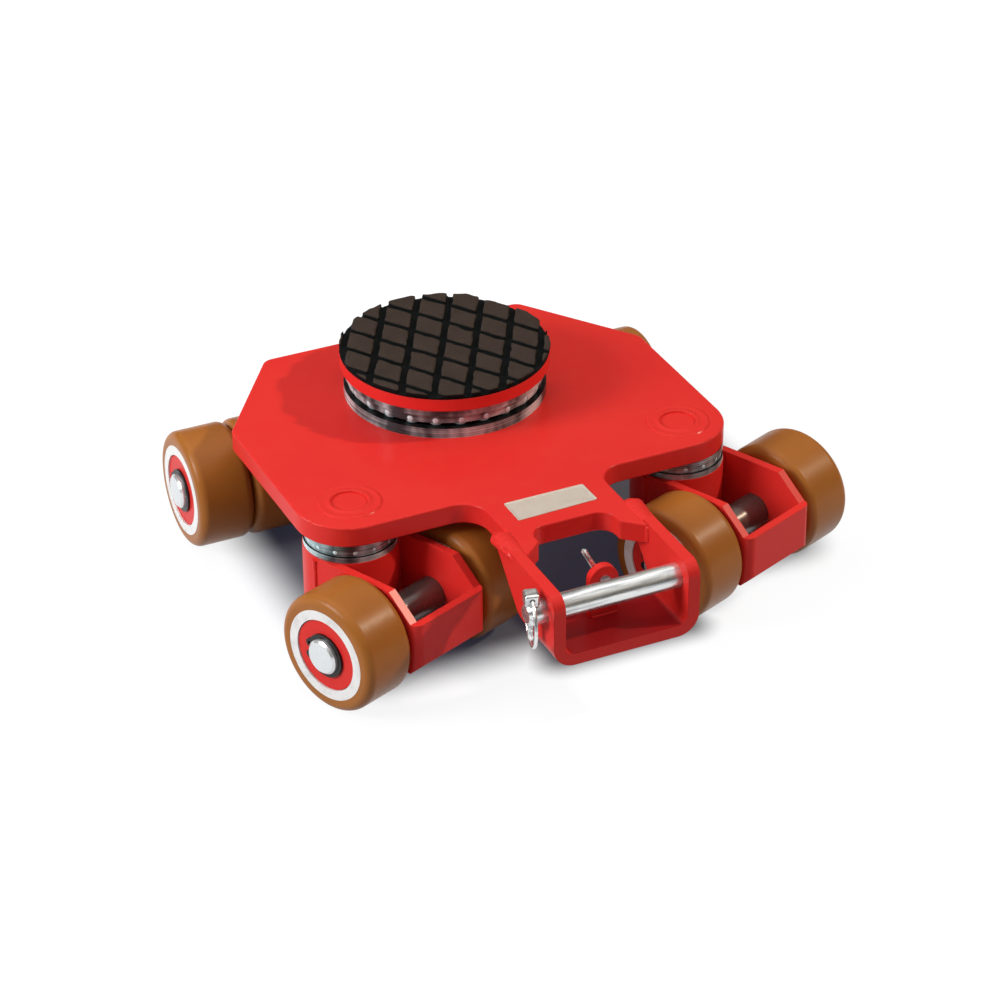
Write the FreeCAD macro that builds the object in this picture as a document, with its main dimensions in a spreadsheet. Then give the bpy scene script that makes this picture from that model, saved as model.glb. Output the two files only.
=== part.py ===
import FreeCAD, Part
import os
import re
import Sketcher

# Machine skate: a steel plate on two swivel casters and a fixed rear axle, with a load turntable on top
# and a drawbar coupling in front. Millimetres, +Z up, floor at z = 0, coupling towards -Y.
# Pieces are drawn about the turntable axis and then set to their place from the origin, which lies on
# the floor under the middle of the part.
DIMENSIONS = {
    # Turntable axis, measured from the origin
    "turntable_x": -22.7,
    "turntable_y": 97.7,
    # Fits shared by all pieces
    "running_fit": 0.05,
    "running_gap": 0.3,
    "cut_overrun": 10.0,
    "edge_round": 1.2,
    # Wheels
    "wheel_diameter": 85.0,
    "wheel_width": 41.0,
    "tyre_shoulder": 6.0,
    "core_diameter": 66.0,
    "core_land": 3.0,
    "bearing_outer": 52.0,
    "bearing_width": 15.0,
    "seal_inner": 31.0,
    "seal_outer": 46.0,
    "seal_depth": 0.5,
    "wheel_gap": 0.8,
    "wheel_play": 6.0,
    "wheel_headroom": 7.5,
    # Axles, cover discs and circlips
    "axle_diameter": 25.0,
    "axle_chamfer": 1.5,
    "axle_overhang": 3.5,
    "cover_recess": 1.0,
    "cover_thickness": 2.0,
    "cover_clearance": 0.4,
    "circlip_thickness": 1.75,
    "circlip_height": 3.2,
    "circlip_groove": 0.8,
    "circlip_opening": 9.0,
    "circlip_lug": 6.0,
    "circlip_lug_rise": 1.5,
    "circlip_hole": 2.4,
    # Swivel casters
    "pivot_spacing": 251.0,
    "pivot_offset": 1.75,
    "pivot_setback": 34.5,
    "swivel_angle": 22.0,
    "caster_trail": 50.0,
    "fork_width": 67.5,
    "fork_plate": 6.0,
    "fork_reach": 95.0,
    "fork_shoulder": 69.5,
    "fork_back_drop": 0.5,
    "fork_front_rise": 2.5,
    "fork_nose_top": 63.5,
    "fork_bottom": 24.0,
    "fork_bend": 6.5,
    "fork_toe": 7.0,
    "housing_diameter": 66.0,
    "housing_spigot": 2.5,
    "nut_pocket_diameter": 46.0,
    "nut_pocket_depth": 17.0,
    "bush_outer": 31.0,
    "kingpin_diameter": 25.0,
    "kingpin_sink": 0.3,
    "kingpin_collar": 3.5,
    "kingpin_nut_width": 36.0,
    "kingpin_nut_height": 12.0,
    "kingpin_tail": 2.0,
    "bead_outer": 45.0,
    "bead_inner": 25.0,
    "bead_height": 1.2,
    # Swivel thrust bearings
    "swivel_bearing_outer": 65.0,
    "swivel_bearing_bore": 45.0,
    "swivel_bearing_height": 14.0,
    "swivel_race": 4.2,
    "swivel_ball": 7.9,
    "swivel_cage_height": 4.8,
    "swivel_ball_spacing": 12.3,
    "swivel_cage_band": 7.8,
    # Main plate
    "plate_thickness": 15.0,
    "plate_width": 322.0,
    "plate_front": 149.5,
    "plate_side_back": 8.0,
    "plate_back": 93.3,
    "plate_back_width": 203.0,
    "plate_corner": 38.0,
    "plate_back_corner": 10.0,
    "tongue_width": 90.0,
    "tongue_reach": 229.0,
    "tongue_root": 19.0,
    "prong_reach": 216.0,
    "prong_tip": 3.0,
    "window_reach": 199.0,
    "window_width": 60.0,
    "window_corner": 12.0,
    # Coupling strap, hitch pin and linch pin
    "strap_plate": 8.5,
    "strap_drop": 53.0,
    "strap_front": 287.0,
    "strap_back": 193.0,
    "strap_heel": 245.0,
    "strap_bend": 7.0,
    "strap_nose": 11.0,
    "strap_tail": 5.0,
    "hitch_pin_diameter": 17.0,
    "hitch_pin_setback": 17.0,
    "hitch_pin_drop": 16.0,
    "hitch_pin_chamfer": 2.5,
    "hitch_pin_overhang": 12.5,
    "linch_diameter": 5.0,
    "linch_inset": 4.0,
    "linch_tail": 12.0,
    "linch_taper": 3.0,
    "linch_tip": 2.5,
    "linch_turn": -15.0,
    "linch_head_length": 11.0,
    "linch_head_width": 10.0,
    "linch_head_height": 8.0,
    "linch_head_round": 2.0,
    "ring_wire": 2.6,
    "ring_diameter": 36.0,
    # Catch behind the hitch pin
    "catch_width": 21.0,
    "catch_plate": 6.0,
    "catch_height": 27.0,
    "catch_inset": 2.0,
    "catch_rivet": 6.0,
    "catch_rivet_head": 1.5,
    "catch_rivet_head_width": 8.0,
    "lever_length": 25.0,
    "lever_eye": 9.0,
    "lever_eye_width": 4.4,
    "lever_diameter": 3.8,
    "lever_chamfer": 1.0,
    "lever_angle": 28.0,
    # Rear axle and its hangers
    "rear_axle_back": 50.4,
    "rear_track": 372.0,
    "hanger_plate": 15.0,
    "hanger_top_width": 74.0,
    "hanger_bottom_width": 44.0,
    "hanger_below_axle": 22.0,
    "hanger_corner": 18.0,
    # Turntable
    "disc_diameter": 150.0,
    "disc_thickness": 9.0,
    "disc_lip": 2.5,
    "disc_recess": 2.0,
    "disc_spigot": 4.0,
    "table_race_width": 17.5,
    "table_bearing_height": 25.0,
    "table_race": 7.5,
    "table_ball": 12.7,
    "table_ball_spacing": 16.6,
    "table_cage_height": 6.4,
    "table_cage_lift": 1.5,
    "table_cage_band": 12.6,
    "table_bolt_diameter": 20.0,
    "table_bolt_head": 34.0,
    "table_bolt_head_height": 4.5,
    "table_nut_width": 30.0,
    "table_nut_height": 14.0,
    "table_bolt_tail": 2.0,
    "table_bolt_collar": 32.0,
    "table_bolt_collar_height": 6.0,
    # Rubber pad
    "pad_thickness": 5.0,
    "pad_groove_width": 5.0,
    "pad_groove_depth": 3.5,
    "pad_groove_pitch": 23.2,
    "pad_groove_half_angle": 31.0,
    "pad_turn": 2.0,
    "pad_first_shift": 1.3,
    "pad_second_shift": -3.5,
}

GROOVES_EACH_SIDE = 3

# Heights and faces worked out from the driving dimensions
DERIVED = {
    "axle_height": "wheel_diameter / 2",
    "plate_underside": "wheel_diameter + wheel_headroom",
    "plate_top": "plate_underside + plate_thickness",
    "housing_top": "plate_underside - swivel_bearing_height",
    "pocket_top": "fork_bottom + nut_pocket_depth",
    "cover_depth": "cover_recess + cover_thickness",
    "wheel_seat": "fork_width / 2 + wheel_play / 2",
    "caster_face": "wheel_seat + wheel_gap + wheel_width",
    "left_pivot": "pivot_offset - pivot_spacing / 2",
    "right_pivot": "pivot_offset + pivot_spacing / 2",
    "pivot_y": "pivot_setback - plate_front",
    "swivel_pitch": "(swivel_bearing_outer + swivel_bearing_bore) / 2",
    "rear_face": "rear_track / 2",
    "hanger_face": "rear_face - 2 * wheel_width - 2 * wheel_gap",
    "core_bore": "bearing_outer / 2 + running_fit",
    "strap_underside": "plate_top - strap_drop",
    "strap_floor": "strap_underside + strap_plate",
    "strap_outer": "tongue_width / 2 + strap_plate",
    "hitch_pin_y": "hitch_pin_setback - strap_front",
    "hitch_pin_height": "plate_top - hitch_pin_drop",
    "linch_x": "-(strap_outer + hitch_pin_overhang - linch_inset)",
    "linch_head_base": "hitch_pin_height + hitch_pin_diameter / 2",
    "ring_hinge_height": "linch_head_base + linch_head_height / 2",
    "ring_sag": "ring_diameter / 2 - sqrt((ring_diameter / 2) ^ 2 - (linch_head_length / 2) ^ 2)",
    "catch_front": "strap_heel + catch_inset + catch_plate",
    "catch_pivot_height": "strap_floor + catch_height",
    "table_bearing_outer": "disc_diameter - 2 * disc_lip",
    "table_bearing_bore": "table_bearing_outer - 2 * table_race_width",
    "table_pitch": "table_bearing_outer - table_race_width",
    "table_lower_top": "plate_top + table_race",
    "table_upper_base": "plate_top + table_bearing_height - table_race",
    "disc_base": "plate_top + table_bearing_height - disc_recess",
    "disc_top": "disc_base + disc_thickness",
    "pad_top": "disc_top + pad_thickness",
}

document = FreeCAD.newDocument("machine_skate")
sheet = document.addObject("Spreadsheet::Sheet", "Dimensions")
for row, (alias, number) in enumerate(DIMENSIONS.items(), start=1):
    sheet.set(f"A{row}", str(number))
    sheet.setAlias(f"A{row}", alias)
document.recompute()

X_AXIS = FreeCAD.Vector(1, 0, 0)
Y_AXIS = FreeCAD.Vector(0, 1, 0)
Z_AXIS = FreeCAD.Vector(0, 0, 1)
FULL_TURN = 360.0
QUARTER_TURN = 90.0
MATCH = 0.001
nodes = []


def with_sheet(formula):
    """the formula with each dimension's name led by its sheet"""
    def replace(match):
        word = match.group(0)
        if word in DERIVED:
            return "(" + with_sheet(DERIVED[word]) + ")"
        return "Dimensions." + word if word in DIMENSIONS else word
    return re.sub(r"[a-z_]\w*", replace, formula)


def size(formula):
    return float(sheet.evalExpression(with_sheet(formula)))


def bind(item, **formulas):
    for name, formula in formulas.items():
        item.setExpression(name, with_sheet(formula))
    return item


def point(x, y, z):
    return FreeCAD.Vector(size(x), size(y), size(z))


def keep(item, label, placement):
    """names a finished piece and sets it in the skate"""
    item.Label = label
    shift = FreeCAD.Placement(point("turntable_x", "turntable_y", "0"), FreeCAD.Rotation())
    item.Placement = shift.multiply(placement)
    nodes.append(item)


def at(x="0", y="0", z="0", rotation=None):
    return FreeCAD.Placement(point(x, y, z), rotation or FreeCAD.Rotation())


def new_body(name):
    return document.addObject("PartDesign::Body", name)


def new_sketch(body, role):
    plane = next(item for item in body.Origin.OriginFeatures if item.Role == role)
    sketch = body.newObject("Sketcher::SketchObject", "Profile")
    sketch.AttachmentSupport = [(plane, "")]
    sketch.MapMode = "FlatFace"
    return sketch


def outline(body, role, corners, lift="0"):
    """closed outline of straight runs whose corners are tied to the sheet"""
    sketch = new_sketch(body, role)
    sketch.setExpression("AttachmentOffset.Base.z", with_sheet(lift))
    points = [FreeCAD.Vector(size(x), size(y), 0) for x, y in corners]
    for start, end in zip(points, points[1:] + points[:1]):
        sketch.addGeometry(Part.LineSegment(start, end), False)
    count = len(points)
    for index in range(count):
        sketch.addConstraint(Sketcher.Constraint("Coincident", index, 2, (index + 1) % count, 1))
    for index, corner in enumerate(corners):
        for kind, formula in zip(("DistanceX", "DistanceY"), corner):
            number = sketch.addConstraint(Sketcher.Constraint(kind, -1, 1, index, 1, size(formula)))
            sketch.setExpression(f"Constraints[{number}]", with_sheet(formula))
    return sketch


def circles(body, role, centres, radius):
    sketch = new_sketch(body, role)
    for index, centre in enumerate(centres):
        middle = FreeCAD.Vector(size(centre[0]), size(centre[1]), 0)
        sketch.addGeometry(Part.Circle(middle, Z_AXIS, size(radius)), False)
        number = sketch.addConstraint(Sketcher.Constraint("Radius", index, size(radius)))
        sketch.setExpression(f"Constraints[{number}]", with_sheet(radius))
        for kind, formula in zip(("DistanceX", "DistanceY"), centre):
            number = sketch.addConstraint(Sketcher.Constraint(kind, -1, 1, index, 3, size(formula)))
            sketch.setExpression(f"Constraints[{number}]", with_sheet(formula))
    return sketch


def turned(name, corners):
    """body of revolution about its own Z axis from (radius, height) corners"""
    body = new_body(name)
    profile = outline(body, "XZ_Plane", corners)
    revolution = body.newObject("PartDesign::Revolution", "Turned")
    revolution.Profile = profile
    revolution.ReferenceAxis = (profile, ["V_Axis"])
    body.Tip = revolution
    document.recompute()
    return body


def ring(name, inner, outer, low, high):
    return turned(name, [(inner, low), (outer, low), (outer, high), (inner, high)])


def padded(body, sketch, length):
    pad = body.newObject("PartDesign::Pad", "Plate")
    pad.Profile = sketch
    bind(pad, Length=length)
    body.Tip = pad
    document.recompute()


def pocketed(body, sketch):
    """cuts the sketch through the whole body, both ways"""
    before = body.Shape.Volume
    pocket = body.newObject("PartDesign::Pocket", "Cut")
    pocket.Profile = sketch
    pocket.Type = "ThroughAll"
    pocket.SideType = "Symmetric"
    body.Tip = pocket
    document.recompute()
    assert body.Shape.Volume < before, f"{body.Name}: the cut removed nothing"


def filleted(body, radius, wanted):
    """rounds the edges of the body's last feature for which wanted(edge) holds"""
    base = body.Tip
    names = [f"Edge{number}" for number, edge in enumerate(base.Shape.Edges, start=1) if wanted(edge)]
    assert names, f"{body.Name}: no edge to round"
    fillet = body.newObject("PartDesign::Fillet", "Round")
    fillet.Base = (base, names)
    bind(fillet, Radius=radius)
    body.Tip = fillet
    document.recompute()


def runs_along(edge, axis):
    return isinstance(edge.Curve, Part.Line) and edge.Curve.Direction.cross(axis).Length < MATCH


def is_circle(edge, radius):
    return isinstance(edge.Curve, Part.Circle) and abs(edge.Curve.Radius - size(radius)) < MATCH


def lies_at(edge, x=None, y=None, z=None):
    """whether the middle of the edge has the given coordinates"""
    middle = edge.valueAt((edge.FirstParameter + edge.LastParameter) / 2)
    pairs = ((middle.x, x), (middle.y, y), (middle.z, z))
    return all(formula is None or abs(number - size(formula)) < MATCH for number, formula in pairs)


def primitive(kind, placement=None, **formulas):
    item = document.addObject(kind, kind.split("::")[1])
    bind(item, **formulas)
    if placement:
        item.Placement = placement
    return item


def cut(base, tool):
    result = document.addObject("Part::Cut", "Cut")
    result.Base = base
    result.Tool = tool
    return result


def fused(*items):
    result = document.addObject("Part::MultiFuse", "Fused")
    result.Shapes = list(items)
    return result


def grouped(*items):
    """separate solids that share one node"""
    result = document.addObject("Part::Compound", "Group")
    result.Links = list(items)
    return result


def set_at(item, placement):
    item.Placement = placement
    return item


def rod(placement, radius, height):
    return primitive("Part::Cylinder", placement, Radius=radius, Height=height)


def block(placement, length, width, height):
    return primitive("Part::Box", placement, Length=length, Width=width, Height=height)


TO_RIGHT = FreeCAD.Rotation(Z_AXIS, X_AXIS)
TO_LEFT = FreeCAD.Rotation(Z_AXIS, -X_AXIS)
TO_BACK = FreeCAD.Rotation(Z_AXIS, Y_AXIS)

# Cross-section of the weld bead round a kingpin, as shares of the bead's width and height
BEAD_SHARES = ((0.0, 0.0), (1.0, 0.0), (0.94, 0.45), (0.84, 0.65), (0.7, 0.55), (0.5, 0.45), (0.35, 0.6),
               (0.2, 0.95), (0.1, 1.0), (0.02, 0.7))


def wheel(name, placement):
    """amber tyre cast on a white core, drawn with the inner face at z = 0"""
    tyre = ring("Tyre", "core_diameter / 2", "wheel_diameter / 2", "0", "wheel_width")
    filleted(tyre, "tyre_shoulder", lambda edge: is_circle(edge, "wheel_diameter / 2"))
    keep(tyre, f"{name}_tyre", placement)
    land = "bearing_outer / 2 - core_land"
    land_low = "bearing_width - wheel_gap + running_gap"
    land_high = "wheel_width - cover_depth - bearing_width - running_gap"
    core = turned("Core", [
        ("core_bore", "0"), ("core_diameter / 2", "0"),
        ("core_diameter / 2", "wheel_width"), ("core_bore", "wheel_width"),
        ("core_bore", land_high), (land, land_high), (land, land_low), ("core_bore", land_low),
    ])
    keep(core, f"{name}_core", placement)


def bearing(placement):
    """sealed ball bearing with its seals set in a little"""
    inner, outer = "axle_diameter / 2", "bearing_outer / 2"
    top, sunk = "bearing_width", "bearing_width - seal_depth"
    body = turned("Bearing", [
        (inner, "0"), ("seal_inner / 2", "0"), ("seal_inner / 2", "seal_depth"),
        ("seal_outer / 2", "seal_depth"), ("seal_outer / 2", "0"), (outer, "0"),
        (outer, top), ("seal_outer / 2", top), ("seal_outer / 2", sunk),
        ("seal_inner / 2", sunk), ("seal_inner / 2", top), (inner, top),
    ])
    return set_at(body, placement)


def axle(name, face, placement):
    """round axle with a circlip groove past the cover disc at each end"""
    radius, neck = "axle_diameter / 2", "axle_diameter / 2 - circlip_groove"
    groove = f"{face} - cover_recess"
    groove_end = f"{groove} + circlip_thickness"
    tip = f"{groove_end} + axle_overhang"
    half = [
        (radius, groove), (neck, groove), (neck, groove_end), (radius, groove_end),
        (radius, f"{tip} - axle_chamfer"), (f"{radius} - axle_chamfer", tip),
    ]
    other = [(r, f"-({z})") for r, z in reversed(half)]
    keep(turned("Axle", half + [("0", tip), ("0", f"-({tip})")] + other), name, placement)


def circlip(placement):
    """external circlip, open at +Y, with a holed lug on each side of the opening"""
    thickness, radius = "circlip_thickness", "axle_diameter / 2"
    band = ring("Circlip", f"{radius} - circlip_groove", f"{radius} + circlip_height", "0", thickness)
    opening = block(at("-circlip_opening / 2"), "circlip_opening", "axle_diameter", thickness)
    lugs, holes = [], []
    for side in ("-", ""):
        place = at(f"{side}circlip_opening / 2", f"{radius} + circlip_lug_rise")
        lugs.append(rod(place, "circlip_lug / 2", thickness))
        holes.append(rod(place, "circlip_hole / 2", thickness))
    return set_at(cut(fused(cut(band, opening), *lugs), grouped(*holes)), placement)


def end_pieces(name, face, placement):
    """cover discs and circlips for both ends of one axle"""
    covers, clips = [], []
    for side, turn in (("", TO_RIGHT), ("-", TO_LEFT)):
        rim = "bearing_outer / 2 - cover_clearance"
        cover = ring("Cover", "axle_diameter / 2", rim, "0", "cover_thickness")
        covers.append(set_at(cover, at(f"{side}({face} - cover_depth)", rotation=turn)))
        clips.append(circlip(at(f"{side}({face} - cover_recess)", rotation=turn)))
    keep(grouped(*covers), f"{name}_cover_discs", placement)
    keep(grouped(*clips), f"{name}_circlips", placement)


def race(bore, outer, low, high, pitch, ball, groove_height):
    """flat bearing ring with a ball groove in one face"""
    groove = primitive("Part::Torus", at(z=groove_height))
    bind(groove, Radius1=f"{pitch} / 2", Radius2=f"{ball} / 2 + running_fit")
    return cut(ring("Race", bore, outer, low, high), groove)


def round_the_axis(count, pitch, height):
    """evenly spaced places on a pitch circle"""
    places = []
    for number in range(count):
        turn = FreeCAD.Rotation(Z_AXIS, number * FULL_TURN / count)
        places.append(FreeCAD.Placement(turn.multVec(point(f"{pitch} / 2", "0", height)), turn))
    return places


def cage_and_balls(name, kind, low, middle, placement):
    """ball cage with round pockets that open through its rim, and as many balls as the pitch circle holds"""
    pitch, ball, band = f"{kind}_pitch", f"{kind}_ball", f"{kind}_cage_band"
    count = int(size(f"pi * {pitch} / {kind}_ball_spacing"))
    inner, outer = f"({pitch} - {band}) / 2", f"({pitch} + {band}) / 2"
    base = ring("Cage", inner, outer, low, f"{low} + {kind}_cage_height")
    pockets, spheres = [], []
    for place in round_the_axis(count, pitch, middle):
        pockets.append(primitive("Part::Sphere", place, Radius=f"{ball} / 2 + running_gap"))
        spheres.append(primitive("Part::Sphere", place, Radius=f"{ball} / 2"))
    keep(cut(base, grouped(*pockets)), f"{name}_cage", placement)
    keep(grouped(*spheres), f"{name}_balls", placement)


def hexagon_nut(width, height, bore, placement):
    body = primitive("Part::Prism", Circumradius=f"{width} / (2 * cos(30))", Height=height)
    body.Polygon = 6
    return set_at(cut(body, rod(at(), bore, height)), placement)


def fork(name, placement):
    """bent plate box, open at the top, that holds the axle in front of the swivel housing"""
    body = new_body("Fork")
    half, inner = "fork_width / 2", "fork_width / 2 - fork_plate"
    nose, nose_inner = "-fork_reach", "-fork_reach + fork_plate"
    past_nose, top = "-fork_reach - cut_overrun", "housing_top + fork_front_rise"
    padded(body, outline(body, "XY_Plane", [
        (f"-({half})", "0"), (f"-({half})", nose), (half, nose), (half, "0"),
        (inner, "0"), (inner, nose_inner), (f"-({inner})", nose_inner), (f"-({inner})", "0"),
    ], lift="fork_bottom"), f"{top} - fork_bottom")
    filleted(body, "fork_bend", lambda edge: runs_along(edge, Z_AXIS) and lies_at(edge, y=nose))
    pocketed(body, outline(body, "YZ_Plane", [
        ("cut_overrun", "housing_top - fork_back_drop"), ("-fork_shoulder", top),
        (nose_inner, "fork_nose_top"), (past_nose, "fork_nose_top"),
        (past_nose, f"{top} + cut_overrun"), ("cut_overrun", f"{top} + cut_overrun"),
    ]))
    pocketed(body, outline(body, "YZ_Plane", [
        (f"{nose} + fork_toe", "fork_bottom"), (nose, "fork_bottom + fork_toe"),
        (past_nose, "fork_bottom + fork_toe"), (past_nose, "fork_bottom - cut_overrun"),
        (f"{nose} + fork_toe", "fork_bottom - cut_overrun"),
    ]))
    pocketed(body, circles(body, "XY_Plane", [("0", "0")], "housing_diameter / 2"))
    pocketed(body, circles(body, "YZ_Plane", [("-caster_trail", "axle_height")], "axle_diameter / 2"))
    keep(body, name, placement)


def caster(side):
    """one swivel caster with its thrust bearing, drawn about its pivot and turned to its rest angle"""
    turned_out = FreeCAD.Rotation(Z_AXIS, size("swivel_angle"))
    pivot = at(f"{side}_pivot", "pivot_y", rotation=turned_out)
    axle_place = pivot.multiply(at("wheel_play / 2", "-caster_trail", "axle_height"))
    fork(f"{side}_fork", pivot)
    bush, pocket = "bush_outer / 2", "nut_pocket_diameter / 2"
    spigot, spigot_top = "swivel_bearing_bore / 2", "housing_top + housing_spigot"
    housing = turned("Housing", [
        (pocket, "fork_bottom"), ("housing_diameter / 2", "fork_bottom"),
        ("housing_diameter / 2", "housing_top"), (spigot, "housing_top"), (spigot, spigot_top),
        (bush, spigot_top), (bush, "pocket_top"), (pocket, "pocket_top"),
    ])
    keep(housing, f"{side}_swivel_housing", pivot)
    keep(ring("Bush", "kingpin_diameter / 2 + running_fit", bush, "pocket_top", spigot_top),
         f"{side}_swivel_bush", pivot)
    middle = "housing_top + swivel_bearing_height / 2"
    keep(race(spigot, "swivel_bearing_outer / 2", "housing_top", "housing_top + swivel_race",
              "swivel_pitch", "swivel_ball", middle), f"{side}_lower_race", pivot)
    cage_low = f"{middle} - swivel_cage_height / 2"
    cage_and_balls(f"{side}_swivel", "swivel", cage_low, middle, pivot)
    axle(f"{side}_axle", "caster_face", axle_place.multiply(at(rotation=TO_RIGHT)))
    end_pieces(side, "caster_face", axle_place)
    bearings = []
    for mark, turn in (("", TO_RIGHT), ("-", TO_LEFT)):
        for start in ("wheel_seat", "caster_face - cover_depth - bearing_width"):
            bearings.append(bearing(at(f"{mark}({start})", rotation=turn)))
    keep(grouped(*bearings), f"{side}_bearings", axle_place)
    outer_mark, inner_mark = ("-", "") if side == "left" else ("", "-")
    for name, mark in (("outer", outer_mark), ("inner", inner_mark)):
        inner_face = at(f"{mark}(wheel_seat + wheel_gap)", rotation=TO_LEFT if mark else TO_RIGHT)
        wheel(f"{side}_{name}", axle_place.multiply(inner_face))


def rear_axle():
    """fixed rear axle under two hangers, with two wheels side by side at each end"""
    place = at("0", "rear_axle_back", "axle_height")
    axle("rear_axle", "rear_face", place.multiply(at(rotation=TO_RIGHT)))
    end_pieces("rear", "rear_face", place)
    bearings = []
    for side, mark, turn in (("left", "-", TO_LEFT), ("right", "", TO_RIGHT)):
        inner_wheel = "hanger_face + wheel_gap"
        outer_wheel = "rear_face - wheel_width"
        starts = ("hanger_face", f"{inner_wheel} + wheel_width - bearing_width",
                  f"{outer_wheel} - wheel_gap", "rear_face - cover_depth - bearing_width")
        for start in starts:
            bearings.append(bearing(at(f"{mark}({start})", rotation=turn)))
        for name, start in (("outer", outer_wheel), ("inner", inner_wheel)):
            wheel(f"rear_{side}_{name}", place.multiply(at(f"{mark}({start})", rotation=turn)))
    keep(grouped(*bearings), "rear_bearings", place)
    body = new_body("Hanger")
    bottom = "axle_height - hanger_below_axle"
    padded(body, outline(body, "YZ_Plane", [
        ("rear_axle_back - hanger_top_width / 2", "plate_underside"),
        ("rear_axle_back - hanger_bottom_width / 2", bottom),
        ("rear_axle_back + hanger_bottom_width / 2", bottom),
        ("rear_axle_back + hanger_top_width / 2", "plate_underside"),
    ], lift="hanger_face - hanger_plate"), "hanger_plate")
    filleted(body, "hanger_corner", lambda edge: runs_along(edge, X_AXIS) and lies_at(edge, z=bottom))
    pocketed(body, circles(body, "YZ_Plane", [("rear_axle_back", "axle_height")], "axle_diameter / 2"))
    other = document.addObject("Part::Mirroring", "OtherHanger")
    other.Source = body
    other.Normal = X_AXIS
    keep(grouped(body, other), "rear_axle_hangers", at())


def both_pivots(make):
    return grouped(*[make(at(x, "pivot_y")) for x in ("left_pivot", "right_pivot")])


def kingpin(placement):
    """kingpin welded into the plate, with the collar that centres the upper swivel race"""
    radius, collar = "kingpin_diameter / 2", "swivel_bearing_bore / 2"
    end = "pocket_top - running_gap - kingpin_nut_height - kingpin_tail"
    body = turned("Kingpin", [
        ("0", end), (radius, end), (radius, "plate_underside - kingpin_collar"),
        (collar, "plate_underside - kingpin_collar"), (collar, "plate_underside"),
        (radius, "plate_underside"), (radius, "plate_top - kingpin_sink"), ("0", "plate_top - kingpin_sink"),
    ])
    return set_at(body, placement)


def kingpin_nut(placement):
    base = placement.multiply(at(z="pocket_top - running_gap - kingpin_nut_height"))
    return hexagon_nut("kingpin_nut_width", "kingpin_nut_height", "kingpin_diameter / 2", base)


def upper_swivel_race(placement):
    low, middle = "plate_underside - swivel_race", "housing_top + swivel_bearing_height / 2"
    body = race("swivel_bearing_bore / 2", "swivel_bearing_outer / 2", low, "plate_underside",
                "swivel_pitch", "swivel_ball", middle)
    return set_at(body, placement)


def kingpins():
    keep(both_pivots(kingpin), "kingpins", at())
    keep(both_pivots(kingpin_nut), "kingpin_nuts", at())
    keep(both_pivots(upper_swivel_race), "swivel_upper_races", at())


def weld_bead(placement):
    inner, width = "bead_inner / 2", "(bead_outer - bead_inner) / 2"
    body = turned("Bead", [(f"{inner} + {across} * {width}", f"plate_top + {up} * bead_height")
                           for across, up in BEAD_SHARES])
    return set_at(body, placement)


def main_plate():
    """flame-cut plate with cut-off back corners, and a tongue in front with an open window"""
    body = new_body("Plate")
    half, front = "plate_width / 2", "-plate_front"
    tongue, window, back = "tongue_width / 2", "window_width / 2", "plate_back_width / 2"
    right = [
        (window, "-window_reach"), (window, "-prong_reach"), (tongue, "-tongue_reach"),
        (tongue, front), (half, front), (half, "plate_side_back"), (back, "plate_back"),
    ]
    left = [(f"-({x})", y) for x, y in reversed(right)]
    padded(body, outline(body, "XY_Plane", right + left, lift="plate_underside"), "plate_thickness")
    rounds = (
        ("plate_corner", half, front), ("tongue_root", tongue, front),
        ("window_corner", window, "-window_reach"), ("prong_tip", window, "-prong_reach"),
        ("plate_back_corner", half, "plate_side_back"), ("plate_back_corner", back, "plate_back"),
    )
    for radius, x, y in rounds:
        filleted(body, radius, lambda edge: runs_along(edge, Z_AXIS)
                 and (lies_at(edge, x=x, y=y) or lies_at(edge, x=f"-({x})", y=y)))
    filleted(body, "edge_round",
             lambda edge: lies_at(edge, z="plate_top") or lies_at(edge, z="plate_underside"))
    pivots = [("left_pivot", "pivot_y"), ("right_pivot", "pivot_y")]
    pocketed(body, circles(body, "XY_Plane", pivots, "kingpin_diameter / 2"))
    pocketed(body, circles(body, "XY_Plane", [("0", "0")], "table_bolt_diameter / 2"))
    beads = [weld_bead(at(x, y)) for x, y in pivots]
    keep(fused(body, *beads), "main_plate", at())


def coupling_strap():
    """plate bent to a U, welded to the sides of the tongue, with a hole for the hitch pin in each cheek"""
    body = new_body("Strap")
    outer, inner = "strap_outer", "tongue_width / 2"
    padded(body, outline(body, "XZ_Plane", [
        (f"-{outer}", "plate_top"), (f"-{outer}", "strap_underside"), (outer, "strap_underside"),
        (outer, "plate_top"), (inner, "plate_top"), (inner, "strap_floor"),
        (f"-({inner})", "strap_floor"), (f"-({inner})", "plate_top"),
    ], lift="strap_back"), "strap_front - strap_back")
    filleted(body, "strap_bend", lambda edge: runs_along(edge, Y_AXIS) and lies_at(edge, z="strap_floor"))
    filleted(body, "strap_bend + strap_plate",
             lambda edge: runs_along(edge, Y_AXIS) and lies_at(edge, z="strap_underside"))
    filleted(body, "strap_nose",
             lambda edge: runs_along(edge, X_AXIS) and lies_at(edge, y="-strap_front", z="plate_top"))
    behind, below = "-strap_back + cut_overrun", "strap_underside - cut_overrun"
    pocketed(body, outline(body, "YZ_Plane", [
        ("-strap_back", "plate_top"), ("-strap_heel", "strap_underside"), ("-strap_heel", below),
        (behind, below), (behind, "plate_top"),
    ]))
    filleted(body, "strap_tail",
             lambda edge: runs_along(edge, X_AXIS) and lies_at(edge, y="-strap_back", z="plate_top"))
    pocketed(body, circles(body, "YZ_Plane", [("hitch_pin_y", "hitch_pin_height")],
                           "hitch_pin_diameter / 2 + running_fit"))
    keep(body, "coupling_strap", at())


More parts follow.
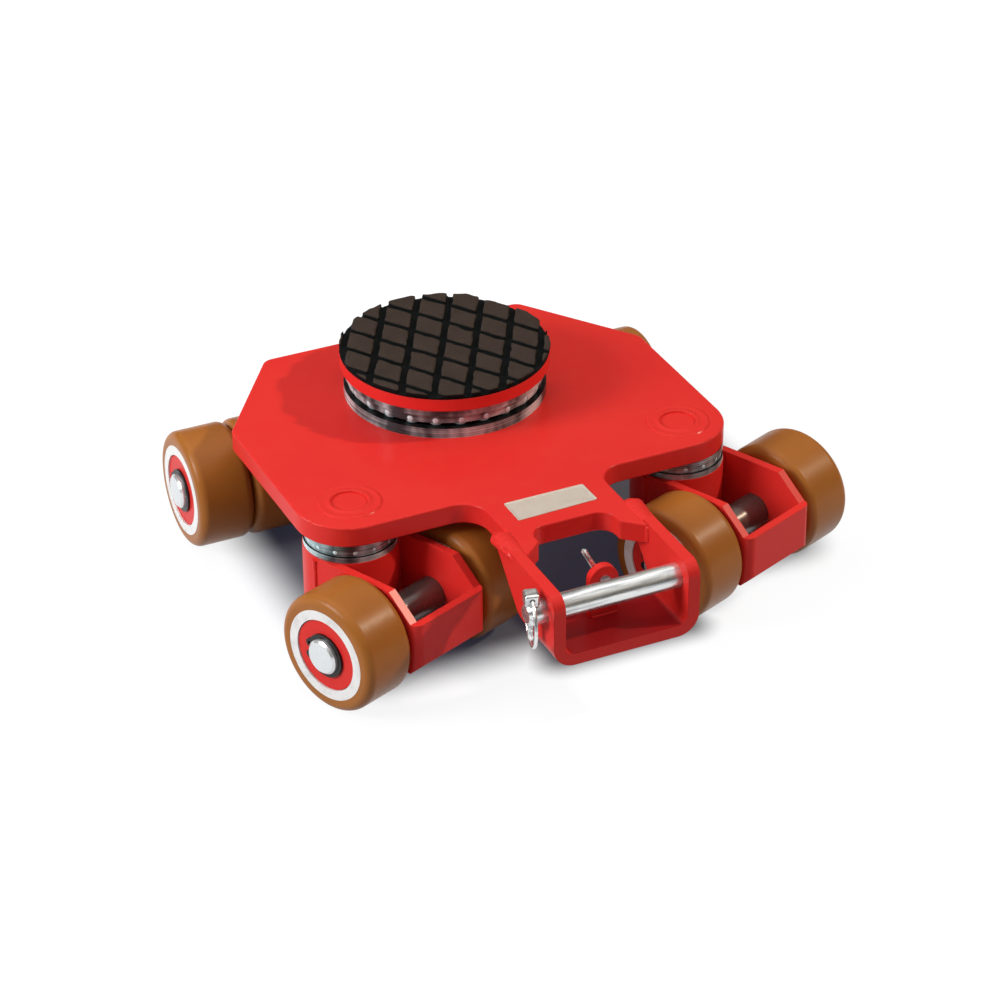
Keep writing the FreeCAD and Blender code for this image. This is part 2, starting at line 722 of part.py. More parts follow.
def hitch_pin():
    """plain pin across the strap, held by a linch pin through its left end"""
    radius, blunt = "hitch_pin_diameter / 2", "hitch_pin_diameter / 2 - hitch_pin_chamfer"
    left, right = "-(strap_outer + hitch_pin_overhang)", "strap_outer"
    body = turned("Pin", [
        ("0", left), (blunt, left), (radius, f"{left} + hitch_pin_chamfer"),
        (radius, f"{right} - hitch_pin_chamfer"), (blunt, right), ("0", right),
    ])
    set_at(body, at("0", "hitch_pin_y", "hitch_pin_height", TO_RIGHT))
    hole_low = "hitch_pin_height - hitch_pin_diameter / 2"
    hole = rod(at("linch_x", "hitch_pin_y", hole_low),
               "linch_diameter / 2 + running_fit", "hitch_pin_diameter")
    keep(cut(body, hole), "hitch_pin", at())


def linch_pin():
    """quick pin, turned a little in its hole, whose spring ring closes round the hitch pin's end"""
    place = at("linch_x", "hitch_pin_y", rotation=FreeCAD.Rotation(Z_AXIS, size("linch_turn")))
    shank, tip = "linch_diameter / 2", "hitch_pin_height - hitch_pin_diameter / 2 - linch_tail"
    stem = turned("LinchStem", [
        ("0", tip), ("linch_tip / 2", tip), (shank, f"{tip} + linch_taper"),
        (shank, "linch_head_base"), ("0", "linch_head_base"),
    ])
    head = new_body("LinchHead")
    across, along = "linch_head_width / 2", "linch_head_length / 2"
    padded(head, outline(head, "XY_Plane", [
        (f"-{across}", f"-{along}"), (across, f"-{along}"), (across, along), (f"-{across}", along),
    ]), "linch_head_height")
    filleted(head, "linch_head_round", lambda edge: not lies_at(edge, z="0"))
    set_at(head, at(z="linch_head_base"))
    eye = rod(at(y=f"-{along}", z="ring_hinge_height", rotation=TO_BACK),
              "(ring_wire + ring_sag) / 2 + running_fit", "linch_head_length")
    keep(cut(fused(stem, head), eye), "linch_pin", place)
    loop = primitive("Part::Torus", Radius1="ring_diameter / 2", Radius2="ring_wire / 2")
    ring_middle = "ring_hinge_height + ring_sag / 2 - ring_diameter / 2"
    keep(loop, "linch_ring", place.multiply(at(z=ring_middle, rotation=TO_RIGHT)))


def catch():
    """round-topped lug on the strap's floor, and the round lever that turns on a rivet through it"""
    front, pivot = "-catch_front", "catch_pivot_height"
    post = block(at("-catch_width / 2", front, "strap_floor"), "catch_width", "catch_plate", "catch_height")
    crown = rod(at("0", front, pivot, TO_BACK), "catch_width / 2", "catch_plate")
    hole = rod(at("0", front, pivot, TO_BACK), "catch_rivet / 2 + running_fit", "catch_plate")
    keep(cut(fused(post, crown), hole), "catch_lug", at())
    back, middle = "catch_plate + running_gap", "catch_plate + running_gap + lever_eye_width / 2"
    eye = rod(at("0", back, "0", TO_BACK), "lever_eye / 2", "lever_eye_width")
    radius = "lever_diameter / 2"
    arm = turned("Arm", [
        ("0", "0"), (radius, "0"), (radius, "lever_length - lever_chamfer"),
        (f"{radius} - lever_chamfer", "lever_length"), ("0", "lever_length"),
    ])
    set_at(arm, at("0", middle))
    rivet_front = at("0", "-running_gap - catch_rivet_head", "0", TO_BACK)
    rivet = rod(rivet_front, "catch_rivet / 2", f"catch_rivet_head + running_gap + {back} + lever_eye_width")
    head = rod(rivet_front, "catch_rivet_head_width / 2", "catch_rivet_head")
    lean = FreeCAD.Rotation(Y_AXIS, -size("lever_angle"))
    keep(fused(eye, arm, rivet, head), "catch_lever", at("0", front, pivot, lean))


def turntable():
    """load turntable on a large thrust bearing, held down by a bolt with room to turn"""
    middle = "plate_top + table_bearing_height / 2"
    bore, outer = "table_bearing_bore / 2", "table_bearing_outer / 2"
    keep(race(bore, outer, "plate_top", "table_lower_top", "table_pitch", "table_ball", middle),
         "turntable_lower_race", at())
    upper_top = "plate_top + table_bearing_height"
    keep(race(bore, outer, "table_upper_base", upper_top, "table_pitch", "table_ball", middle),
         "turntable_upper_race", at())
    cage_low = f"{middle} - table_cage_height / 2 + table_cage_lift"
    cage_and_balls("turntable", "table", cage_low, middle, at())
    hole, head = "table_bolt_diameter / 2 + running_gap", "table_bolt_head / 2 + running_gap"
    recess, spigot = "disc_base + disc_recess", "disc_base - disc_spigot"
    head_seat = "disc_top - table_bolt_head_height - 2 * running_gap"
    disc = turned("Disc", [
        (hole, spigot), (bore, spigot), (bore, recess), (outer, recess), (outer, "disc_base"),
        ("disc_diameter / 2", "disc_base"), ("disc_diameter / 2", "disc_top"),
        (head, "disc_top"), (head, head_seat), (hole, head_seat),
    ])
    keep(disc, "turntable_disc", at())
    shank, collar = "table_bolt_diameter / 2", "table_bolt_collar / 2"
    end = "plate_underside - table_nut_height - table_bolt_tail"
    collar_top = "plate_top + table_bolt_collar_height"
    bolt = turned("Bolt", [
        ("0", end), (shank, end), (shank, "plate_top"), (collar, "plate_top"), (collar, collar_top),
        (shank, collar_top), (shank, f"{head_seat} + running_gap"),
        ("table_bolt_head / 2", f"{head_seat} + running_gap"),
        ("table_bolt_head / 2", "disc_top - running_gap"), ("0", "disc_top - running_gap"),
    ])
    keep(bolt, "turntable_bolt", at())
    keep(hexagon_nut("table_nut_width", "table_nut_height", shank, at()), "turntable_nut",
         at(z="plate_underside - table_nut_height"))


def rubber_pad():
    """round rubber pad with two sets of slanting grooves that cross"""
    grooves = []
    length = "disc_diameter + cut_overrun"
    floor = "pad_top - pad_groove_depth"
    families = (("-pad_groove_half_angle", "pad_first_shift"), ("pad_groove_half_angle", "pad_second_shift"))
    for turn, shift in families:
        slant = at(rotation=FreeCAD.Rotation(Z_AXIS, QUARTER_TURN + size(f"pad_turn + {turn}")))
        for step in range(-GROOVES_EACH_SIDE, GROOVES_EACH_SIDE + 1):
            across = f"{shift} + {step} * pad_groove_pitch - pad_groove_width / 2"
            corner = slant.multiply(at(f"-({length}) / 2", across, floor))
            grooves.append(block(corner, length, "pad_groove_width", "pad_groove_depth"))
    blank = rod(at(z="disc_top"), "disc_diameter / 2", "pad_thickness")
    keep(cut(blank, grouped(*grooves)), "rubber_pad", at())


main_plate()
coupling_strap()
kingpins()
rear_axle()
for side in ("left", "right"):
    caster(side)
turntable()
rubber_pad()
hitch_pin()
linch_pin()
catch()
document.recompute()

for item in document.Objects:
    assert not {"Invalid", "Error"} & set(item.State), f"{item.Label} failed: {item.State}"
for item in nodes:
    assert not item.Shape.isNull() and item.Shape.isValid(), f"{item.Label} has no sound shape"
os.makedirs("parts", exist_ok=True)
for item in nodes:
    item.Shape.exportStep(f"parts/{item.Label}.step")
print(len(nodes), "pieces,", sum(len(item.Shape.Solids) for item in nodes), "solids")
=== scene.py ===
from math import cos, radians, sin

import bmesh
import bpy
from mathutils import Matrix, Vector, noise


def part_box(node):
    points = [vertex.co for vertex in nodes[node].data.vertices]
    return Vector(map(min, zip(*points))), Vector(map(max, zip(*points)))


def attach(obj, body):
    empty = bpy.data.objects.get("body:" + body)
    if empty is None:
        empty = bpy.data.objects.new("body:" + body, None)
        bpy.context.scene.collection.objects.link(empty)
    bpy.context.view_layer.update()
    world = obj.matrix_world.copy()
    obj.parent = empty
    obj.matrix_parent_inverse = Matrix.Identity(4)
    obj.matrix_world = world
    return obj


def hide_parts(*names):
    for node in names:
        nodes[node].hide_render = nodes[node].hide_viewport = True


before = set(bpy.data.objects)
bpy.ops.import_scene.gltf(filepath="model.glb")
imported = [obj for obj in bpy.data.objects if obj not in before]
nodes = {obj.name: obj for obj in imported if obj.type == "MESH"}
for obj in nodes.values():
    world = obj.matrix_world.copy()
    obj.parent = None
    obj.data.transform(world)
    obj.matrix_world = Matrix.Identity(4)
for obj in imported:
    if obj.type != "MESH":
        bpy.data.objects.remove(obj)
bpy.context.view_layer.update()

# Main plate and all that is painted with it: flame-cut, bent and turned mild steel, welded together and sprayed
# with one thick coat of red enamel. The coat rounds every edge a little, has a fine orange peel and holds some
# dust, and the floor of the strap is given painted shade, a darker red.


class Value:
    """A socket of a node tree. Sums with it add Math nodes to that tree."""

    def __init__(self, tree, socket=None):
        self.tree = tree
        self.socket = socket

    def node(self, kind, values=None, output=0, **settings):
        """adds a node: its settings first, then the values or links of its sockets"""
        node = self.tree.nodes.new(kind if "Node" in kind else "ShaderNode" + kind)
        for name, setting in settings.items():
            setattr(node, name, setting)
        for name, value in (values or {}).items():
            if isinstance(value, Value):
                self.tree.links.new(value.socket, node.inputs[name])
            else:
                node.inputs[name].default_value = value
        return Value(self.tree, node.outputs[output])

    def maths(self, operation, *terms):
        return self.node("Math", dict(enumerate(terms)), operation=operation)

    def __add__(self, other):
        return self.maths("ADD", self, other)

    def __sub__(self, other):
        return self.maths("SUBTRACT", self, other)

    def __rsub__(self, other):
        return self.maths("SUBTRACT", other, self)

    def __mul__(self, other):
        return self.maths("MULTIPLY", self, other)

    __radd__ = __add__
    __rmul__ = __mul__

    def between(self, low, high):
        """0 below low, 1 above high, smooth in between"""
        limits = {"Value": self, "From Min": low, "From Max": high}
        return self.node("MapRange", limits, interpolation_type="SMOOTHSTEP")

    def noise(self, place, scale, detail=3.0, roughness=0.5):
        return self.node("TexNoise", {"Vector": place, "Scale": scale, "Detail": detail, "Roughness": roughness})

    def stretched(self, place, *scale):
        return self.node("Mapping", {"Vector": place, "Scale": scale})

    def axis(self, place, letter):
        """one coordinate of a place"""
        return self.node("SeparateXYZ", {"Vector": place}, output=letter)

    def upward(self):
        """1 on faces that look up, 0 on the others"""
        return self.axis(self.node("NewGeometry", output="Normal"), "Z").between(0.80, 0.98)

    def blend(self, first, second):
        """a colour between two, by this value"""
        return self.node("Mix", {0: self, 6: first, 7: second}, output=2, data_type="RGBA")

    def bump(self, height, strength, distance, **more):
        return self.node("Bump", {"Height": height, "Strength": strength, "Distance": distance, **more})


def new_finish(name):
    """a new material, the start of its sums, and its coordinates"""
    material = bpy.data.materials.new(name)
    material.use_nodes = True
    start = Value(material.node_tree)
    return material, start, start.node("TexCoord", output="Object")


def dress(material, sockets):
    """sets or links the shader's sockets"""
    shader = material.node_tree.nodes["Principled BSDF"]
    for name, value in sockets.items():
        if isinstance(value, Value):
            material.node_tree.links.new(value.socket, shader.inputs[name])
        else:
            shader.inputs[name].default_value = value


def give(material, *names):
    """gives the finish to CAD nodes"""
    for name in names:
        nodes[name].data.materials.clear()
        nodes[name].data.materials.append(material)


def colour(red, green, blue):
    return (red, green, blue, 1.0)


PAINTED_EDGE = 0.0009
RED_DEEP, RED_BRIGHT = colour(0.71, 0.022, 0.022), colour(0.79, 0.036, 0.027)
RED_DUSTY, RED_SHADED = colour(0.75, 0.075, 0.046), colour(0.36, 0.014, 0.017)
STRAP_SHADE_TOP, STRAP_SHADE_BACK, STRAP_SHADE_EDGE = 0.066, -0.136, 0.004
CLOUD_SCALE, PEEL_SCALE, DUST_SCALE, DUST_SHARE = 9.0, 380.0, 46.0, 0.12
ENAMEL_ROUGH, CLOUD_ROUGH, DUST_ROUGH = 0.34, 0.08, 0.06
ENAMEL_GLOSS = {"Specular IOR Level": 0.04, "Coat Weight": 0.22, "Coat Roughness": 0.24}
red_enamel, start, place = new_finish("red_enamel")
cloud = start.noise(place, CLOUD_SCALE, 4.0)
peel = start.noise(place, PEEL_SCALE, 2.0)
dust = start.noise(place, DUST_SCALE, 5.0, 0.6).between(0.40, 0.85)
# Painted shade: faces that look up and lie low and far forward take a darker red, the strap's floor above all.
low = 1.0 - start.axis(place, "Z").between(STRAP_SHADE_TOP, STRAP_SHADE_TOP + STRAP_SHADE_EDGE)
ahead = 1.0 - start.axis(place, "Y").between(STRAP_SHADE_BACK, STRAP_SHADE_BACK + STRAP_SHADE_EDGE)
strap_shade = start.upward() * low * ahead
clean_red = (dust * DUST_SHARE).blend(cloud.blend(RED_DEEP, RED_BRIGHT), RED_DUSTY)
soft_edge = start.node("Bevel", {"Radius": PAINTED_EDGE}, samples=6)
dress(red_enamel, {
    "Base Color": strap_shade.blend(clean_red, RED_SHADED),
    "Roughness": cloud * CLOUD_ROUGH + dust * DUST_ROUGH + ENAMEL_ROUGH,
    **ENAMEL_GLOSS,
    "Normal": start.bump(peel, 0.05, 0.0003, Normal=soft_edge),
})
give(red_enamel, "main_plate", "coupling_strap", "rear_axle_hangers", "turntable_disc", "catch_lug",
     "left_fork", "right_fork", "left_swivel_housing", "right_swivel_housing",
     "left_cover_discs", "right_cover_discs", "rear_cover_discs")

# Weld beads: run by hand along the seams of the strap, hangers, lug and forks, then painted over. Each is a
# faintly rippled roll of steel that swells where the welder stopped. Those beside the strap are wide, flat mounds.
table_low, table_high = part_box("turntable_disc")
TABLE_AXIS = (table_low + table_high) / 2
BEAD_RADIUS, RIPPLE_LENGTH, RIPPLE_DEPTH, WANDER = 0.0026, 0.0026, 0.04, 0.12
STEPS_PER_RIPPLE, BEAD_SIDES, WAVER_SCALE = 5, 16, 160.0
MILLIMETRES = 1000

bead_tree = bpy.data.node_groups.new("weld_bead", "GeometryNodeTree")
bead_inputs = {}
for label, kind in (("Seams", "Geometry"), ("Radius", "Float"), ("Flatness", "Float"), ("Ripple length", "Float"),
                    ("Ripple depth", "Float"), ("Wander", "Float"), ("Paint", "Material")):
    socket = bead_tree.interface.new_socket(label, in_out="INPUT", socket_type="NodeSocket" + kind)
    bead_inputs[label] = socket.identifier
bead_tree.interface.new_socket("Beads", in_out="OUTPUT", socket_type="NodeSocketGeometry")
start = Value(bead_tree)
given_node = bead_tree.nodes.new("NodeGroupInput")
given = {label: Value(bead_tree, given_node.outputs[label]) for label in bead_inputs}
step = given["Ripple length"] * (1.0 / STEPS_PER_RIPPLE)
line = start.node("GeometryNodeResampleCurve", {"Curve": given["Seams"], "Length": step}, mode="LENGTH")
line = start.node("GeometryNodeSetCurveNormal", {"Curve": line}, mode="Z_UP")
run = start.node("GeometryNodeSplineParameter", output="Length")
ripple = start.maths("DIVIDE", start.maths("PINGPONG", run, given["Ripple length"]), given["Ripple length"])
waver = start.noise(start.node("GeometryNodeInputPosition"), WAVER_SCALE, 2.0) - 0.5
swell = ripple * given["Ripple depth"] + waver * given["Wander"] + 1.0
girth = start.node("GeometryNodeInputRadius") * given["Radius"] * swell
ring = start.node("GeometryNodeCurvePrimitiveCircle", {"Resolution": BEAD_SIDES, "Radius": 1.0})
squash = start.node("CombineXYZ", {"X": 1.0, "Y": given["Flatness"], "Z": 1.0})
ring = start.node("GeometryNodeTransform", {"Geometry": ring, "Scale": squash})
roll = start.node("GeometryNodeCurveToMesh",
                  {"Curve": line, "Profile Curve": ring, "Scale": girth, "Fill Caps": True})
roll = start.node("GeometryNodeSetShadeSmooth", {"Geometry": roll})
roll = start.node("GeometryNodeRealizeInstances", {"Geometry": roll})
roll = start.node("GeometryNodeSetMaterial", {"Geometry": roll, "Material": given["Paint"]})
bead_tree.links.new(roll.socket, bead_tree.nodes.new("NodeGroupOutput").inputs["Beads"])


def weld(name, body, seams, radius=BEAD_RADIUS, flatness=1.0):
    """one piece of weld bead along the seams of a body, each a list of points in metres and their swelling"""
    curve = bpy.data.curves.new(name, "CURVE")
    curve.dimensions = "3D"
    for seam in seams:
        spline = curve.splines.new("POLY")
        spline.points.add(len(seam) - 1)
        for point, (spot, swelling) in zip(spline.points, seam):
            point.co = (*spot, 1.0)
            point.radius = swelling
    guide = bpy.data.objects.new(name + "_seams", curve)
    bpy.context.scene.collection.objects.link(guide)
    modifier = guide.modifiers.new("bead", "NODES")
    modifier.node_group = bead_tree
    for label, value in (("Radius", radius), ("Flatness", flatness), ("Ripple length", RIPPLE_LENGTH),
                         ("Ripple depth", RIPPLE_DEPTH), ("Wander", WANDER), ("Paint", red_enamel)):
        modifier[bead_inputs[label]] = value
    evaluated = guide.evaluated_get(bpy.context.evaluated_depsgraph_get())
    mesh = bpy.data.meshes.new_from_object(evaluated)
    mesh.name = name
    guide.modifiers.remove(modifier)
    bpy.data.objects.remove(guide)
    piece = bpy.data.objects.new(name, mesh)
    bpy.context.scene.collection.objects.link(piece)
    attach(piece, body)


def on_plate(x, y, z):
    """a point in millimetres about the turntable's axis, as the part's drawing gives them"""
    return Vector((TABLE_AXIS.x + x / MILLIMETRES, TABLE_AXIS.y + y / MILLIMETRES, z / MILLIMETRES))


PLATE_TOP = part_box("turntable_lower_race")[0].z * MILLIMETRES
MOUND_RADIUS, MOUND_FLATNESS = 0.0078, 0.58
STRAP_MOUND = ((48.0, -190.5, -5.5, 0.45), (48.4, -193.5, -3.9, 0.8), (48.8, -198.0, -3.1, 1.02),
               (48.6, -204.0, -3.1, 1.0), (48.2, -211.0, -3.2, 0.95), (47.9, -218.0, -3.4, 0.92),
               (47.6, -224.5, -4.4, 0.75), (47.5, -228.5, -6.0, 0.5))
STRAP_END_X, STRAP_END_Y, STRAP_END = 46.3, -227.7, ((-1.2, 0.8), (-2.2, 1.15), (-8.0, 1.2), (-13.5, 1.1))
HANGER_FACES, HANGER_RUN, HANGER_HEIGHT, HANGER_SWELL = (102.6, 87.2), (15.0, 50.0, 86.0), 92.4, 1.15
LUG_FACES, LUG_RUN, LUG_HEIGHT, LUG_SWELL = (-253.2, -246.8), (-9.5, 0.0, 9.5), 63.2, 0.6
weld("strap_welds", "chassis",
     [[(on_plate(side * x, y, PLATE_TOP + z), swelling) for x, y, z, swelling in STRAP_MOUND] for side in (-1, 1)],
     MOUND_RADIUS, MOUND_FLATNESS)
chassis_seams = []
for side in (-1, 1):
    chassis_seams.append([(on_plate(side * STRAP_END_X, STRAP_END_Y, PLATE_TOP + z), swelling)
                          for z, swelling in STRAP_END])
    for face in HANGER_FACES:
        chassis_seams.append([(on_plate(side * face, y, HANGER_HEIGHT), HANGER_SWELL) for y in HANGER_RUN])
for face in LUG_FACES:
    chassis_seams.append([(on_plate(x, face, LUG_HEIGHT), LUG_SWELL) for x in LUG_RUN])
weld("chassis_welds", "chassis", chassis_seams)

CASTER_TURN, PIVOT_Y = radians(22.0), -115.0
HOUSING_SEAMS = ((-33.2, 0.4), (-27.3, -18.4), (27.3, -18.4), (33.2, 0.4))
HOUSING_RUN = ((25.5, 0.75), (50.0, 0.7), (73.5, 0.75), (76.5, 0.9))
for caster, pivot_x in (("left", -123.75), ("right", 127.25)):
    fork_seams = []
    for x, y in HOUSING_SEAMS:
        seam_x = pivot_x + x * cos(CASTER_TURN) - y * sin(CASTER_TURN)
        seam_y = PIVOT_Y + x * sin(CASTER_TURN) + y * cos(CASTER_TURN)
        fork_seams.append([(on_plate(seam_x, seam_y, z), swelling) for z, swelling in HOUSING_RUN])
    weld(f"{caster}_caster_welds", f"{caster}_caster", fork_seams)

# Kingpins: turned steel, welded into the plate from above. Their ends are painted with it, and the shanks below
# stay bright inside the bearings.
weld_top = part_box("main_plate")[1].z
PAINT_START, PAINT_FULL = 0.004, 0.003
STEEL_BRIGHT = colour(0.62, 0.62, 0.64)
kingpin_steel, start, place = new_finish("kingpin_steel")
painted = start.axis(place, "Z").between(weld_top - PAINT_START, weld_top - PAINT_FULL)
cloud = start.noise(place, CLOUD_SCALE, 4.0)
dress(kingpin_steel, {
    "Base Color": painted.blend(STEEL_BRIGHT, cloud.blend(RED_DEEP, RED_BRIGHT)),
    "Metallic": 1.0 - painted,
    "Roughness": cloud * CLOUD_ROUGH + ENAMEL_ROUGH,
    **ENAMEL_GLOSS,
    "Normal": start.bump(start.noise(place, 650.0, 2.0), 0.10, 0.0003),
})
give(kingpin_steel, "kingpins")

# Data plate: thin pale aluminium, blank, stuck to the tongue. Its rim is pressed up a little and its face is
# brushed along its length.
LABEL_CORNERS = ((-31.0, -163.0), (28.5, -163.0), (29.0, -185.0), (-31.0, -187.0))
LABEL_THICK, LABEL_RIM, LABEL_ROUND = 0.0005, 0.0011, 0.0014
form = bmesh.new()
foot = [form.verts.new(on_plate(x, y, PLATE_TOP)) for x, y in reversed(LABEL_CORNERS)]
form.faces.new(foot)
bmesh.ops.bevel(form, geom=foot, offset=LABEL_ROUND, segments=5, profile=0.5, affect="VERTICES")
sheet = max(form.faces, key=lambda face: face.calc_area())
raised = bmesh.ops.extrude_face_region(form, geom=[sheet])["geom"]
corners = [item for item in raised if isinstance(item, bmesh.types.BMVert)]
bmesh.ops.translate(form, vec=(0, 0, LABEL_THICK), verts=corners)
top = next(item for item in raised if isinstance(item, bmesh.types.BMFace))
bmesh.ops.inset_individual(form, faces=[top], thickness=LABEL_RIM, depth=0.0)
bmesh.ops.inset_individual(form, faces=[top], thickness=LABEL_THICK, depth=-LABEL_THICK / 2)
bmesh.ops.recalc_face_normals(form, faces=form.faces)
mesh = bpy.data.meshes.new("data_plate")
form.to_mesh(mesh)
form.free()
data_plate = bpy.data.objects.new("data_plate", mesh)
bpy.context.scene.collection.objects.link(data_plate)
LABEL_DULL, LABEL_PALE = colour(0.58, 0.50, 0.43), colour(0.70, 0.63, 0.56)
pale_aluminium, start, place = new_finish("pale_aluminium")
brushed = start.noise(start.stretched(place, 40.0, 1500.0, 40.0), 1.0, 3.0)
smudge = start.noise(place, 120.0, 5.0, 0.65)
dress(pale_aluminium, {
    "Base Color": smudge.blend(LABEL_DULL, LABEL_PALE),
    "Metallic": 0.25,
    "Roughness": brushed * 0.18 + smudge * 0.15 + 0.28,
    "Normal": start.bump(brushed, 0.10, 0.0001),
})
mesh.materials.append(pale_aluminium)
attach(data_plate, "chassis")

# Hitch pin, linch pin with its spring ring, catch lever and nuts: drawn and turned steel, zinc plated, with a
# faint mottle and scuffs along the pin where the drawbar's eye slides.
ZINC_DULL, ZINC_BRIGHT, ZINC_SCUFFED = colour(0.72, 0.74, 0.74), colour(0.86, 0.87, 0.86), colour(0.40, 0.42, 0.43)
zinc_plate, start, place = new_finish("zinc_plate")
mottle = start.noise(place, 90.0, 5.0, 0.6)
scuff = start.noise(start.stretched(place, 25.0, 260.0, 260.0), 1.0, 4.0, 0.6)
dress(zinc_plate, {
    "Base Color": scuff.between(0.42, 0.66).blend(mottle.blend(ZINC_DULL, ZINC_BRIGHT), ZINC_SCUFFED),
    "Metallic": 0.8,
    "Roughness": mottle * 0.08 + scuff.between(0.45, 0.75) * 0.08 + 0.18,
    "Normal": start.bump(scuff, 0.02, 0.0002),
})
give(zinc_plate, "hitch_pin", "linch_pin", "linch_ring", "catch_lever", "kingpin_nuts", "turntable_nut")

# Thrust bearings: the rings and cages under the turntable and over the casters are hardened steel, turned and
# ground bright. Fine marks run round them, painted reflections streak their sides dark and pale, and dark grease
# is on top.
DARK_GLEAM, PALE_GLEAM, GREASE = colour(0.03, 0.05, 0.055), colour(0.70, 0.92, 0.95), colour(0.010, 0.011, 0.012)
STREAK_SHARE, TURNING_SHARE = 0.85, 0.15
bearing_steel, start, place = new_finish("bearing_steel")
turning = start.noise(start.stretched(place, 6.0, 6.0, 1100.0), 1.0, 2.0)
streak = start.noise(start.stretched(place, 34.0, 34.0, 14.0), 1.0, 3.0, 0.55)
# Painted reflections: streaks round the rings, with a little of the turning marks, blend dark and pale bluish
# steel.
painted_gleam = (streak * STREAK_SHARE + turning * TURNING_SHARE).between(0.38, 0.64)
dress(bearing_steel, {
    "Base Color": start.upward().blend(painted_gleam.blend(DARK_GLEAM, PALE_GLEAM), GREASE),
    "Metallic": 0.35,
    "Roughness": turning * 0.16 + 0.20,
    "Normal": start.bump(turning, 0.25, 0.0003),
})
give(bearing_steel, "turntable_lower_race", "turntable_upper_race", "turntable_cage", "swivel_upper_races",
     "left_lower_race", "right_lower_race", "left_swivel_cage", "right_swivel_cage",
     "left_bearings", "right_bearings", "rear_bearings")

# Balls: polished chrome steel, bright as mirrors under a smear of grease.
ball_steel, start, place = new_finish("ball_steel")
smear = start.noise(place, 140.0, 3.0)
dress(ball_steel, {
    "Base Color": smear.blend(colour(0.60, 0.84, 0.87), colour(0.68, 0.92, 0.95)),
    "Metallic": 0.2,
    "Roughness": smear * 0.12 + 0.14,
})
give(ball_steel, "turntable_balls", "left_swivel_balls", "right_swivel_balls")

# Swivel bushes: plain bronze, pressed into the housings.
bronze, start, place = new_finish("bronze")
tarnish = start.noise(place, 70.0, 4.0)
dress(bronze, {
    "Base Color": tarnish.blend(colour(0.42, 0.26, 0.11), colour(0.62, 0.41, 0.18)),
    "Metallic": 1.0,
    "Roughness": tarnish * 0.2 + 0.25,
})
give(bronze, "left_swivel_bush", "right_swivel_bush")

# Axles and turntable bolt: drawn round bar, turned bright, faced and chamfered at the ends. Between the cheeks of
# the forks their colour is painted dark, as painted shade.
AXLE_SHADE_HALF, AXLE_SHADE_EDGE = 0.034, 0.006
axle_steel, start, place = new_finish("axle_steel")
grain = start.noise(place, 420.0, 4.0)
stain = start.noise(place, 30.0, 4.0)
reach = []
for name in ("left_axle", "right_axle"):
    axle_low, axle_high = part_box(name)
    middle = tuple((axle_low + axle_high) / 2)
    reach.append(start.node("VectorMath", {0: place, 1: middle}, output="Value", operation="DISTANCE"))
# Painted shade: near the middle of each caster axle, between the fork's cheeks, the steel is dark brown-grey.
outside_forks = start.maths("MINIMUM", *reach).between(AXLE_SHADE_HALF, AXLE_SHADE_HALF + AXLE_SHADE_EDGE)
bright = stain.blend(colour(0.66, 0.69, 0.70), colour(0.82, 0.85, 0.86))
dress(axle_steel, {
    "Base Color": outside_forks.blend(colour(0.16, 0.14, 0.13), bright),
    "Metallic": 0.65,
    "Roughness": grain * 0.12 + stain * 0.10 + 0.14,
    "Normal": start.bump(grain, 0.05, 0.0002),
})
give(axle_steel, "left_axle", "right_axle", "rear_axle", "turntable_bolt")

# Circlips: spring steel, blacked in oil, snapped into the axles' grooves.
black_oxide, start, place = new_finish("black_oxide")
worn = start.noise(place, 160.0, 4.0)
dress(black_oxide, {
    "Base Color": worn.blend(colour(0.012, 0.012, 0.013), colour(0.035, 0.034, 0.034)),
    "Metallic": 0.6,
    "Roughness": worn * 0.2 + 0.3,
})
give(black_oxide, "left_circlips", "right_circlips", "rear_circlips")

# Tyres: amber polyurethane cast on the cores and turned to size, slightly clouded, with a soft gloss and faint
# scuffs from the floor.
AMBER_DEEP, AMBER_LIGHT = colour(0.32, 0.103, 0.017), colour(0.43, 0.153, 0.025)
AMBER_SCUFFED = colour(0.39, 0.155, 0.04)
amber_tyre, start, place = new_finish("amber_tyre")
cloud = start.noise(place, 22.0, 4.0)
scuff = start.noise(place, 190.0, 5.0, 0.7).between(0.50, 0.80)
dress(amber_tyre, {
    "Base Color": (scuff * 0.25).blend(cloud.blend(AMBER_DEEP, AMBER_LIGHT), AMBER_SCUFFED),
    "Roughness": cloud * 0.10 + scuff * 0.14 + 0.28,
    "Specular IOR Level": 0.2,
    "Normal": start.bump(scuff, 0.06, 0.0003),
})
AXLE_ENDS = ("left", "right", "rear_left", "rear_right")
wheel_names = [f"{end}_{side}" for end in AXLE_ENDS for side in ("outer", "inner")]
give(amber_tyre, *[f"{name}_tyre" for name in wheel_names])

# Cores: cast iron centres, turned on the face and painted off-white.
core_white, start, place = new_finish("core_white")
smudge = start.noise(place, 80.0, 5.0, 0.65)
dress(core_white, {
    "Base Color": smudge.between(0.42, 0.72).blend(colour(0.90, 0.89, 0.88), colour(0.74, 0.72, 0.70)),
    "Roughness": smudge * 0.2 + 0.28,
    "Normal": start.bump(smudge, 0.05, 0.0003),
})
give(core_white, *[f"{name}_core" for name in wheel_names])

